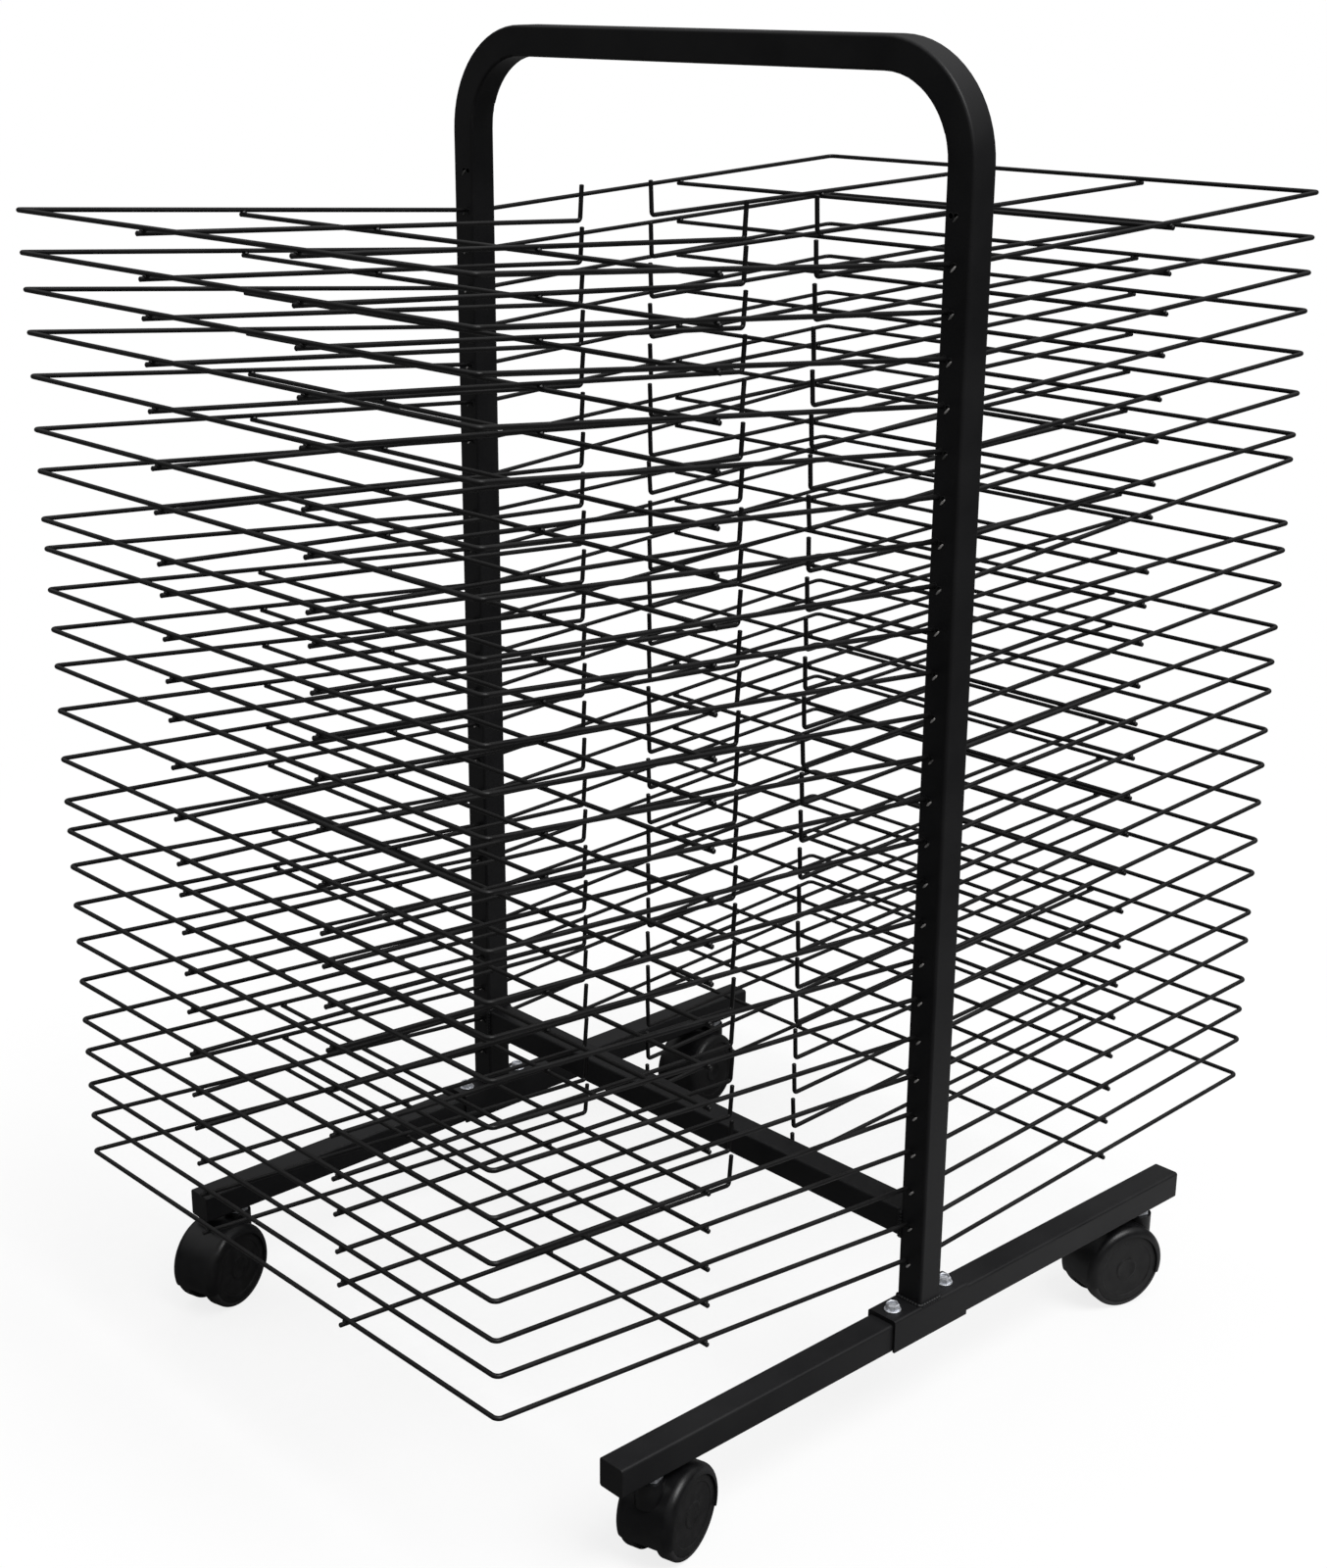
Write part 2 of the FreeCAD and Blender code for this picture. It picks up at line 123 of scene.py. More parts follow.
# ---- how the wires are told apart in the CAD meshes, in metres ----
SAME_POINT = 2e-6  # points nearer than this are one
OUTER_BAND = 0.0038  # the outer wire lies this deep within the far end of the frame wire
INNER_BAND = 0.0005  # and the cut ends within this of its near end
FRAME_WIRE_LEAST = 0.3  # only the frame wire is wider and deeper than this


# ---- sizes and colours ----
class RackSizes(bpy.types.PropertyGroup):
    """Sizes of the details, in metres."""

    wire: FloatProperty(name="Wire", description="Diameter of the shelf wire",
                        default=0.0038, unit="LENGTH")
    nugget: FloatProperty(name="Weld nugget", description="Width of the weld where two wires cross",
                          default=0.0056, unit="LENGTH")
    nugget_height: FloatProperty(name="Nugget height", description="Height of that weld",
                                 default=0.0040, unit="LENGTH")
    stop_distance: FloatProperty(name="Stop distance",
                                 description="Middle of the rack to the paper stops",
                                 default=0.0375, unit="LENGTH")
    stop_height: FloatProperty(name="Stop height",
                               description="Top of the paper stops over the frame wire",
                               default=0.0316, unit="LENGTH")
    cross_share: FloatProperty(name="Cross wires",
                               description="Their spacing as a share of the shelf's width",
                               default=0.343)
    mid_overhang: FloatProperty(name="Mid wire", description="Its ends past the middle of the side wires",
                                default=0.0035, unit="LENGTH")
    cross_overhang: FloatProperty(name="Cross wire ends", description="Past the middle of the outer wire",
                                  default=0.005, unit="LENGTH")
    tip_height: FloatProperty(name="Wire tip", description="Height of the coat's bead on a cut wire end",
                              default=0.0008, unit="LENGTH")
    bead: FloatProperty(name="Weld bead", description="Radius of the weld bead between tubes",
                        default=0.0020, unit="LENGTH")
    bead_ripple: FloatProperty(name="Bead ripple", description="Length of one ripple of a weld bead",
                               default=0.0030, unit="LENGTH")
    tube: FloatProperty(name="Tube", description="Side of the square tube", default=0.025, unit="LENGTH")
    tube_corner: FloatProperty(name="Tube corner", description="Outer radius of the tube's corners",
                               default=0.0025, unit="LENGTH")
    hole: FloatProperty(name="Wire hole", description="Diameter of the holes for the wires",
                        default=0.004, unit="LENGTH")
    spare_hole: FloatProperty(name="Spare holes",
                              description="Height of the free holes over the top shelves",
                              default=0.9801, unit="LENGTH")
    hole_rim: FloatProperty(name="Hole rim", description="Width of the rim round a wire hole",
                            default=0.0008, unit="LENGTH")
    outer_hole: FloatProperty(name="Outer holes", description="Middle of the rack to the outer wire holes",
                              default=0.274, unit="LENGTH")
    inner_hole: FloatProperty(name="Inner holes", description="Middle of the rack to the inner wire holes",
                              default=0.269, unit="LENGTH")
    burr_width: FloatProperty(name="Burr width", description="Width of the bare burr at a hole",
                              default=0.0019, unit="LENGTH")
    burr_length: FloatProperty(name="Burr length", description="Length of that burr",
                               default=0.0068, unit="LENGTH")
    burr_height: FloatProperty(name="Burr height", description="How far that burr stands out of the post",
                               default=0.0007, unit="LENGTH")
    rim_height: FloatProperty(name="Rim height", description="How far that rim stands out of the post",
                              default=0.00025, unit="LENGTH")
    hex_across: FloatProperty(name="Hexagon", description="Bolt heads and nuts across their flats",
                              default=0.010, unit="LENGTH")
    hex_dish: FloatProperty(name="Hexagon dish", description="Depth of the dish in a bolt's head",
                            default=0.0011, unit="LENGTH")
    hex_chamfer: FloatProperty(name="Hexagon chamfer", description="Chamfer of bolt heads and nuts",
                               default=0.0009, unit="LENGTH")
    thread: FloatProperty(name="Thread", description="Outer diameter of the bolts' thread",
                          default=0.006, unit="LENGTH")
    thread_pitch: FloatProperty(name="Thread pitch", description="Pitch of the bolts' thread",
                                default=0.001, unit="LENGTH")
    washer_edge: FloatProperty(name="Washer edge", description="Rounding of the washers' edges",
                               default=0.0003, unit="LENGTH")
    wheel: FloatProperty(name="Wheel", description="Diameter of the castor wheels",
                         default=0.075, unit="LENGTH")
    wheel_disc: FloatProperty(name="Wheel disc", description="Radius of a wheel's disc, inside its tread",
                              default=0.0338, unit="LENGTH")
    wheel_inner: FloatProperty(name="Wheel inside", description="Castor's middle to a wheel's inner face",
                               default=0.0095, unit="LENGTH")
    wheel_outer: FloatProperty(name="Wheel outside", description="Castor's middle to a wheel's outer face",
                               default=0.023, unit="LENGTH")


class RackColours(bpy.types.PropertyGroup):
    """Colours of the finishes, as they are written on a colour chart (sRGB)."""

    powder_coat: FloatVectorProperty(name="Powder coat", description="Satin black of the tubes",
                                     default=(0.052, 0.052, 0.060), size=3, subtype="COLOR_GAMMA")
    coated_wire: FloatVectorProperty(name="Coated wire", description="Black of the shelf wire",
                                     default=(0.040, 0.038, 0.042), size=3, subtype="COLOR_GAMMA")
    plastic_cap: FloatVectorProperty(name="Plastic cap", description="Black of the end caps",
                                     default=(0.055, 0.055, 0.060), size=3, subtype="COLOR_GAMMA")
    zinc_steel: FloatVectorProperty(name="Zinc plate", description="Bright zinc on the fasteners",
                                    default=(0.91, 0.92, 0.94), size=3, subtype="COLOR_GAMMA")
    bare_steel: FloatVectorProperty(name="Bare steel", description="Steel bared at the edges of the holes",
                                    default=(0.95, 0.94, 0.93), size=3, subtype="COLOR_GAMMA")
    castor_nylon: FloatVectorProperty(name="Castor nylon", description="Black of the castor hoods",
                                      default=(0.048, 0.048, 0.054), size=3, subtype="COLOR_GAMMA")
    castor_disc: FloatVectorProperty(name="Castor disc", description="Black of the castor wheels' discs",
                                     default=(0.060, 0.058, 0.062), size=3, subtype="COLOR_GAMMA")
    castor_tread: FloatVectorProperty(name="Castor tread", description="Dark grey of the castors' treads",
                                      default=(0.150, 0.147, 0.152), size=3, subtype="COLOR_GAMMA")


def linear(colour):
    """A chart colour (sRGB) as the linear values that a shader takes."""
    return tuple(c / 12.92 if c <= 0.04045 else ((c + 0.055) / 1.055) ** 2.4 for c in colour)


# the material of each finish
FINISHES = {"powder_coat": "satin_powder_coat", "coated_wire": "coated_steel_wire",
            "plastic_cap": "moulded_cap_plastic", "castor_nylon": "castor_hood_nylon",
            "castor_disc": "castor_disc_nylon", "castor_tread": "castor_tread_rubber",
            "zinc_steel": "bright_zinc_plate", "bare_steel": "rubbed_bare_steel"}
SATIN_SPECULAR = 0.28  # specular level of every dark coat and moulding
DULL_ZINC = 0.86  # the darker clouds of the zinc, as a share of its colour


# ---- materials ----
def add_node(tree, kind, inputs=None, **settings):
    """A shader node with its settings, and its inputs set or linked."""
    node = tree.nodes.new(kind)
    for name, value in settings.items():
        setattr(node, name, value)
    for name, value in (inputs or {}).items():
        if isinstance(value, bpy.types.NodeSocket):
            tree.links.new(value, node.inputs[name])
        else:
            node.inputs[name].default_value = value
    return node


def new_material(name):
    """An empty node material with its tree, surface shader and object coordinates."""
    material = bpy.data.materials.new(FINISHES.get(name, name))
    material.use_nodes = True
    tree = material.node_tree
    tree.nodes.clear()
    shader = add_node(tree, "ShaderNodeBsdfPrincipled")
    add_node(tree, "ShaderNodeOutputMaterial", {"Surface": shader.outputs["BSDF"]})
    place = add_node(tree, "ShaderNodeTexCoord").outputs["Object"]
    return material, tree, shader, place


def per_metre(size_mm):
    """The texture scale that gives a pattern of this size, in millimetres."""
    return 1000.0 / size_mm


def noise(tree, place, size_mm, detail=2.0):
    """Noise whose patches have this size, in millimetres."""
    return add_node(tree, "ShaderNodeTexNoise",
                    {"Vector": place, "Scale": per_metre(size_mm), "Detail": detail})


def remap(tree, value, low, high, start=0.35, end=0.65):
    """A value spread from low to high between start and end, where noise mostly lies."""
    node = add_node(tree, "ShaderNodeMapRange", {"Value": value, "From Min": start, "From Max": end,
                                                 "To Min": low, "To Max": high})
    return node.outputs["Result"]


def mixed(tree, share, first, second):
    """A colour between two others, which are inputs 6 and 7 of the mix node."""
    node = add_node(tree, "ShaderNodeMix", {0: share, 6: first, 7: second}, data_type="RGBA")
    return node.outputs[2]


def lighter(colour, share):
    """The same colour, lighter by a share of the way to white, as four linear values."""
    return (*[c + (1.0 - c) * share for c in linear(colour)], 1.0)


def satin(name, colour, patch_mm, grain_mm, grain_depth_mm, roughness, spread, lift):
    """A dark satin coat: broad patches of slightly different gloss and tone over a fine raised grain."""
    material, tree, shader, place = new_material(name)
    patches = noise(tree, place, patch_mm, detail=3.0).outputs["Fac"]
    grain = noise(tree, place, grain_mm).outputs["Fac"]
    tone = mixed(tree, remap(tree, patches, 0.0, 1.0), lighter(colour, 0.0), lighter(colour, lift))
    gloss = remap(tree, patches, roughness - spread, roughness + spread)
    bump = add_node(tree, "ShaderNodeBump", {"Height": grain, "Strength": 1.0,
                                             "Distance": grain_depth_mm / 1000.0})
    tree.links.new(tone, shader.inputs["Base Color"])
    tree.links.new(gloss, shader.inputs["Roughness"])
    tree.links.new(bump.outputs["Normal"], shader.inputs["Normal"])
    shader.inputs["Specular IOR Level"].default_value = SATIN_SPECULAR
    return material


def plated(name, colour, streak_mm, roughness, spread):
    """Plated steel: metal with fine cloudy streaks in its gloss and tone."""
    material, tree, shader, place = new_material(name)
    clouds = noise(tree, place, streak_mm, detail=4.0).outputs["Fac"]
    dull = tuple(c * DULL_ZINC for c in colour)
    tone = mixed(tree, remap(tree, clouds, 0.0, 1.0), lighter(dull, 0.0), lighter(colour, 0.0))
    tree.links.new(tone, shader.inputs["Base Color"])
    tree.links.new(remap(tree, clouds, roughness - spread, roughness + spread), shader.inputs["Roughness"])
    shader.inputs["Metallic"].default_value = 1.0
    return material


def rubbed(name, steel, coat, patch_mm):
    """Coat rubbed through to the steel in places: dark and satin, or metal."""
    material, tree, shader, place = new_material(name)
    patches = noise(tree, place, patch_mm, detail=1.0).outputs["Fac"]
    bare = remap(tree, patches, 0.1, 1.0, start=0.40, end=0.52)
    gloss = remap(tree, bare, 0.42, 0.55, start=0.0, end=1.0)
    tone = mixed(tree, bare, lighter(coat, 0.0), lighter(steel, 0.0))
    tree.links.new(tone, shader.inputs["Base Color"])
    tree.links.new(bare, shader.inputs["Metallic"])
    tree.links.new(gloss, shader.inputs["Roughness"])
    return material


def make_materials(colours):
    """Every finish of the rack, by its own name."""
    return {
        # satin polyester powder: soft wide highlights with a faint orange-peel
        "powder_coat": satin("powder_coat", colours.powder_coat, patch_mm=60.0, grain_mm=0.9,
                             grain_depth_mm=0.012, roughness=0.47, spread=0.05, lift=0.005),
        # thinner, smoother coat on drawn wire: a narrow highlight along each wire
        "coated_wire": satin("coated_wire", colours.coated_wire, patch_mm=45.0, grain_mm=1.4,
                             grain_depth_mm=0.006, roughness=0.42, spread=0.08, lift=0.004),
        # moulded polyethylene: duller, with a spark-eroded grain
        "plastic_cap": satin("plastic_cap", colours.plastic_cap, patch_mm=12.0, grain_mm=0.5,
                             grain_depth_mm=0.020, roughness=0.50, spread=0.05, lift=0.004),
        # injection-moulded nylon: smooth and a little waxy
        "castor_nylon": satin("castor_nylon", colours.castor_nylon, patch_mm=22.0, grain_mm=0.7,
                              grain_depth_mm=0.006, roughness=0.36, spread=0.07, lift=0.005),
        # wheel nylon: duller than the hood, with a faint mottle
        "castor_disc": satin("castor_disc", colours.castor_disc, patch_mm=9.0, grain_mm=1.1,
                             grain_depth_mm=0.015, roughness=0.50, spread=0.08, lift=0.008),
        # tread: greyer and matt, scuffed by the floor
        "castor_tread": satin("castor_tread", colours.castor_tread, patch_mm=7.0, grain_mm=0.8,
                              grain_depth_mm=0.020, roughness=0.58, spread=0.08, lift=0.012),
        # bright zinc plate: light metal with cloudy passivation
        "zinc_steel": plated("zinc_steel", colours.zinc_steel, streak_mm=2.2, roughness=0.62, spread=0.08),
        # burrs at the holes: the wires rub the coat off in places and bare the steel
        "bare_steel": rubbed("bare_steel", colours.bare_steel, colours.powder_coat, patch_mm=34.0),
    }


def slot_of(node):
    """The material slot of a CAD node, from its name."""
    if "shel" in node:
        return "coated_wire"
    if node.endswith("_hood"):
        return "castor_nylon"
    if node.endswith("_wheels"):
        return "castor_tread"
    if "cap" in node:
        return "plastic_cap"
    if any(word in node for word in ("bolt", "washer", "nut", "stem", "axle")):
        return "zinc_steel"
    return "powder_coat"


# ---- mesh makers ----
def finished_piece(name, maker, body, finish, sharp_degrees=35.0):
    """A named piece from a bmesh, riding its body, in one of the rack's finishes."""
    bmesh.ops.recalc_face_normals(maker, faces=maker.faces[:])
    mesh = bpy.data.meshes.new(name)
    maker.to_mesh(mesh)
    maker.free()
    mesh.materials.append(bpy.data.materials[FINISHES[finish]])
    mesh.shade_smooth()
    mesh.set_sharp_from_angle(angle=math.radians(sharp_degrees))
    piece = bpy.data.objects.new(name, mesh)
    bpy.context.scene.collection.objects.link(piece)
    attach(piece, body)
    return piece


def axes_to(direction, place):
    """The matrix that stands a shape made along +Z on a point, pointing another way."""
    turn = UP.rotation_difference(Vector(direction)).to_matrix().to_4x4()
    return Matrix.Translation(place) @ turn


def section_at(section, radius, height, start=0.0):
    """A section of (share, share) points at its real size, from a starting radius."""
    return [(start + radius * out, height * up) for out, up in section]


def lathe(profile, steps, closed=False):
    """A mesh turned about +Z from (radius, height) points; a closed profile makes a ring."""
    maker = bmesh.new()
    points = [maker.verts.new((radius, 0.0, height)) for radius, height in profile]
    pairs = list(zip(points, points[1:])) + ([(points[-1], points[0])] if closed else [])
    edges = [maker.edges.new(pair) for pair in pairs]
    bmesh.ops.spin(maker, geom=points + edges, cent=(0, 0, 0), axis=(0, 0, 1), angle=math.tau,
                   steps=steps, use_merge=True)
    bmesh.ops.remove_doubles(maker, verts=maker.verts[:], dist=1e-7)
    return as_pattern(maker)


def hex_block(across, height, chamfer, dish=0.0):
    """A hexagonal block on the level plane, with its upper edge chamfered and its top dished."""
    maker = bmesh.new()
    bmesh.ops.create_circle(maker, cap_ends=True, segments=6, radius=across / math.sqrt(3.0))
    raised = bmesh.ops.extrude_face_region(maker, geom=maker.faces[:])["geom"]
    top = [item for item in raised if isinstance(item, bmesh.types.BMVert)]
    bmesh.ops.translate(maker, verts=top, vec=(0, 0, height))
    rim = [edge for edge in maker.edges if edge.verts[0] in top and edge.verts[1] in top]
    bmesh.ops.bevel(maker, geom=rim, offset=chamfer, segments=2, profile=0.5, affect="EDGES", material=-1)
    if dish > 0.0:
        lid = [face for face in maker.faces
               if face.calc_center_median().z > height - LID_DEPTH * chamfer]
        bmesh.ops.inset_region(maker, faces=lid, thickness=across * DISH_RIM)
        bmesh.ops.inset_region(maker, faces=lid, thickness=across * DISH_WALL, depth=-dish)
    return as_pattern(maker)


def bead_ring(side, corner, radius, ripple):
    """A rippled weld bead round a square tube that stands on the level plane."""
    maker = bmesh.new()
    half = side / 2.0
    straight = side - 2.0 * corner
    quarter_lap = straight + corner * math.pi / 2.0
    count = round(4 * quarter_lap / ripple) * BEAD_RINGS
    loops = []
    for ring in range(count):
        quarter, along = divmod(4 * quarter_lap * ring / count, quarter_lap)
        angle = max(0.0, along - straight) / corner
        out = Vector((math.cos(angle), math.sin(angle), 0.0))
        base = Vector((half - corner, min(along, straight) - straight / 2.0, 0.0))
        turn = Matrix.Rotation(quarter * math.pi / 2.0, 3, "Z")
        out, place = turn @ out, turn @ (base + out * corner)
        swell = 1.0 + BEAD_SWELL * math.cos(math.tau * ring / BEAD_RINGS)
        run = out.cross(UP)
        stand = Matrix((out, UP, run)).transposed().to_4x4()
        made = bmesh.ops.create_circle(maker, segments=BEAD_SIDES, radius=radius * swell,
                                       matrix=Matrix.Translation(place) @ stand)
        loops.append(list({edge for vert in made["verts"] for edge in vert.link_edges}))
    for first, second in zip(loops, loops[1:] + loops[:1]):
        bmesh.ops.bridge_loops(maker, edges=first + second)
    return as_pattern(maker)


def as_pattern(maker):
    """The bmesh as a mesh that stamp() copies."""
    mesh = bpy.data.meshes.new("pattern")
    maker.to_mesh(mesh)
    maker.free()
    return mesh


def stamp(maker, pattern, matrix):
    """Copies a pattern mesh into a bmesh at a place."""
    copy = pattern.copy()
    copy.transform(matrix)
    maker.from_mesh(copy)
    bpy.data.meshes.remove(copy)


# ---- where the shelves are ----
class ShelfLine:
    """One shelf's frame wire, read from its CAD mesh: inner end, direction outwards and half width."""

    def __init__(self, points):
        left, right = min(p.x for p in points), max(p.x for p in points)
        out = 1.0 if max(p.y for p in points) > -min(p.y for p in points) else -1.0
        far = max(p.y * out for p in points)
        near = min(p.y * out for p in points)
        outer = [p for p in points if p.y * out > far - OUTER_BAND]
        inner = [p for p in points if p.y * out < near + INNER_BAND]
        self.side = out
        self.middle_x = (left + right) / 2.0
        self.half_width = (right - left) / 2.0
        self.start = self.centre(inner)
        self.end = self.centre(outer)
        self.direction = (self.end - self.start).normalized()
        self.lift = Vector((1, 0, 0)).cross(self.direction) * out
        self.depth = (self.end - self.start).length + self.start.y * out / abs(self.direction.y)

    def centre(self, points):
        """Middle of some points, on the shelf's own middle plane."""
        y = (min(p.y for p in points) + max(p.y for p in points)) / 2.0
        z = (min(p.z for p in points) + max(p.z for p in points)) / 2.0
        return Vector((self.middle_x, y, z))

    def at(self, x, along, up):
        """The point this far outwards along the wires from the middle of the rack, and up from them."""
        reach = along - self.start.y * self.side / abs(self.direction.y)
        point = self.start + self.direction * reach + self.lift * up
        return Vector((self.middle_x + x, point.y, point.z))


def islands(node):
    """The separate wires of a CAD node, each as a list of points."""
    maker = bmesh.new()
    maker.from_mesh(frame["nodes"][node].data)
    bmesh.ops.remove_doubles(maker, verts=maker.verts[:], dist=SAME_POINT)
    seen = set()
    found = []
    for first in maker.verts:
        if first in seen:
            continue
        seen.add(first)
        island = [first]
        for vert in island:
            for edge in vert.link_edges:
                other = edge.other_vert(vert)
                if other not in seen:
                    seen.add(other)
                    island.append(other)
        found.append([vert.co.copy() for vert in island])
    maker.free()
    return found


def shelf_lines(node):
    """Every frame wire in a shelf node."""
    lines = []
    for points in islands(node):
        width = max(p.x for p in points) - min(p.x for p in points)
        depth = max(p.y for p in points) - min(p.y for p in points)
        if width > FRAME_WIRE_LEAST and depth > FRAME_WIRE_LEAST:
            lines.append(ShelfLine(points))
    return lines


# ---- the pieces ----
class RACK_OT_finishes(bpy.types.Operator):
    """Makes every finish and lays it on the CAD nodes"""
    bl_idname = "rack.finishes"
    bl_label = "Finishes"

    def execute(self, context):
        materials = make_materials(context.scene.rack_colours)
        for name, node in frame["nodes"].items():
            slot = slot_of(name)
            node.data.materials.clear()
            node.data.materials.append(materials[slot])
        return {"FINISHED"}


def body_of(node):
    """The CAD body that a node belongs to."""
    return frame["nodes"][node]["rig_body"]


def crossings(line, sizes):
    """Where the wires of one shelf cross, midway between their middles."""
    side = line.half_width - sizes.wire / 2.0
    reach = side * sizes.cross_share
    mid = (sizes.stop_distance + line.depth) / 2.0
    level = -sizes.wire / 2.0
    places = [line.at(x, along, level) for x in (-reach, reach) for along in (mid, line.depth)]
    return places + [line.at(x, mid, level) for x in (-side, side)]


def cut_ends(line, sizes):
    """The cut ends of one shelf's cross wires and mid wire: (place, direction out of the wire)."""
    reach = (line.half_width - sizes.wire / 2.0) * sizes.cross_share
    side = line.half_width - sizes.wire / 2.0 + sizes.mid_overhang
    mid = (sizes.stop_distance + line.depth) / 2.0
    outer = line.depth + sizes.cross_overhang
    drop = -sizes.wire * (outer - mid) / (line.depth - mid)
    ends = []
    for x in (-reach, reach):
        ends.append((line.at(x, sizes.stop_distance, sizes.stop_height), line.lift))
        ends.append((line.at(x, outer, drop), line.direction))
    for x in (-side, side):
        ends.append((line.at(x, mid, -sizes.wire), Vector((x, 0, 0)).normalized()))
    return ends


class RACK_OT_wire_welds(bpy.types.Operator):
    """Makes the weld nugget at every crossing of the shelf wires"""
    bl_idname = "rack.wire_welds"
    bl_label = "Wire welds"

    def execute(self, context):
        sizes = context.scene.rack_sizes
        nugget = lathe(section_at(NUGGET_SECTION, sizes.nugget / 2.0, sizes.nugget_height / 2.0),
                       NUGGET_STEPS)
        for node in SHELF_NODES:
            maker = bmesh.new()
            for line in shelf_lines(node):
                for place in crossings(line, sizes):
                    stamp(maker, nugget, axes_to(line.lift, place))
            finished_piece(node + "_weld_nuggets", maker, body_of(node), "coated_wire")
        bpy.data.meshes.remove(nugget)
        return {"FINISHED"}


class RACK_OT_wire_tips(bpy.types.Operator):
    """Makes the bead of coat on every cut wire end"""
    bl_idname = "rack.wire_tips"
    bl_label = "Wire tips"

    def execute(self, context):
        sizes = context.scene.rack_sizes
        tip = lathe(section_at(TIP_SECTION, sizes.wire / 2.0, sizes.tip_height), TIP_STEPS)
        for node in SHELF_NODES:
            maker = bmesh.new()
            for line in shelf_lines(node):
                for place, direction in cut_ends(line, sizes):
                    stamp(maker, tip, axes_to(direction, place))
            finished_piece(node + "_wire_tips", maker, body_of(node), "coated_wire")
        bpy.data.meshes.remove(tip)
        return {"FINISHED"}


class RACK_OT_hole_rims(bpy.types.Operator):
    """Makes the coated rims round the wire holes in the posts"""
    bl_idname = "rack.hole_rims"
    bl_label = "Hole rims"

    def execute(self, context):
        sizes = context.scene.rack_sizes
        section = section_at(RIM_SECTION, sizes.hole_rim, sizes.rim_height, start=sizes.hole / 2.0)
        rim = lathe(section, RIM_STEPS, closed=True)
        maker = bmesh.new()
        for place, out in hole_places(sizes):
            stamp(maker, rim, axes_to(out, place))
        finished_piece("wire_hole_rims", maker, body_of("arch"), "powder_coat")
        bpy.data.meshes.remove(rim)
        return {"FINISHED"}


class RACK_OT_worn_edges(bpy.types.Operator):
    """Makes the burr at the lower edge of each outer hole, where the coat is rubbed off"""
    bl_idname = "rack.worn_edges"
    bl_label = "Worn edges"

    def execute(self, context):
        sizes = context.scene.rack_sizes
        burr = lathe(BURR_SECTION, BURR_STEPS)
        shape = Matrix.Diagonal((sizes.burr_width / 2.0, sizes.burr_length / 2.0, sizes.burr_height, 1.0))
        lean = Matrix.Rotation(math.radians(BURR_LEAN), 4, "Z")
        reach = sizes.hole / 2.0
        maker = bmesh.new()
        for place, out in hole_places(sizes):
            if abs(place.x) > (sizes.outer_hole + sizes.inner_hole) / 2.0:
                edge = place + Vector((-BURR_SHIFT * reach, 0.0, -reach))
                stamp(maker, burr, axes_to(out, edge) @ lean @ shape)
        finished_piece("worn_hole_edges", maker, body_of("arch"), "bare_steel")
        bpy.data.meshes.remove(burr)
        return {"FINISHED"}


def hole_places(sizes):
    """Every wire hole in the front and rear faces of the posts: (place, direction out of the face)."""
    half = sizes.tube / 2.0
    places = []
    for node in SHELF_NODES:
        for line in shelf_lines(node):
            reach = line.half_width - sizes.wire / 2.0
            for x in (-reach, reach):
                for face in (-half, half):
                    along = face * line.side / abs(line.direction.y)
                    places.append((line.at(x, along, 0.0), Vector((0, math.copysign(1.0, face), 0))))
                    if node.endswith(TOP_SHELF):
                        spare = Vector((places[-1][0].x, face, sizes.spare_hole))
                        places.append((spare, places[-1][1]))
    return places


class RACK_OT_weld_beads(bpy.types.Operator):
    """Makes the weld beads round the crossbar's ends and round the feet of the posts"""
    bl_idname = "rack.weld_beads"
    bl_label = "Weld beads"

    def execute(self, context):
        sizes = context.scene.rack_sizes
        bead = bead_ring(sizes.tube, sizes.tube_corner, sizes.bead, sizes.bead_ripple)
        low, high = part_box("crossbar")
        middle = (low + high) / 2.0
        arch_low, arch_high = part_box("arch")
        post = arch_high.x - sizes.tube / 2.0
        maker = bmesh.new()
        for side in (low.x, high.x):
            stamp(maker, bead, axes_to((1, 0, 0), (side, middle.y, middle.z)))
        for side in (-post, post):
            stamp(maker, bead, Matrix.Translation((side, 0.0, arch_low.z)))
        finished_piece("tube_weld_beads", maker, body_of("crossbar"), "powder_coat", BEAD_SHARP)
        bpy.data.meshes.remove(bead)
        return {"FINISHED"}


def boxes(node):
    """(lowest corner, highest corner) of each solid in a node."""
    found = []
    for points in islands(node):
        found.append((Vector([min(p[axis] for p in points) for axis in range(3)]),
                      Vector([max(p[axis] for p in points) for axis in range(3)])))
    return found


class RACK_OT_bolts(bpy.types.Operator):
    """Makes the bolts through the saddles and the feet"""
    bl_idname = "rack.bolts"
    bl_label = "Bolts"

    def execute(self, context):
        sizes = context.scene.rack_sizes
        nut_foot = max(low.z for low, high in boxes("foot_nuts"))
        seat = max(high.z for low, high in boxes("foot_washers"))
        radius, pitch = sizes.thread / 2.0, sizes.thread_pitch
        groove, inside_head = THREAD_DEPTH * pitch, seat + pitch
        maker = bmesh.new()
        for low, high in boxes("foot_bolts"):
            x, y = (low.x + high.x) / 2.0, (low.y + high.y) / 2.0
            head = hex_block(sizes.hex_across, high.z - seat, sizes.hex_chamfer, sizes.hex_dish)
            stamp(maker, head, Matrix.Translation((x, y, seat)))
            turns = [(radius - groove * (step % 2), low.z + THREAD_LEAD * pitch + pitch * step / 2.0)
                     for step in range(1, round(2 * (nut_foot - low.z) / pitch))]
            shank = lathe([(0.0, low.z), (radius - groove, low.z)] + turns
                          + [(radius, nut_foot), (radius, inside_head), (0.0, inside_head)], SHANK_STEPS)
            stamp(maker, shank, Matrix.Translation((x, y, 0.0)))
            bpy.data.meshes.remove(head)
            bpy.data.meshes.remove(shank)
        bolts = finished_piece("hex_bolts", maker, body_of("foot_bolts"), "zinc_steel")
        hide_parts("foot_bolts")
        return {"FINISHED"}


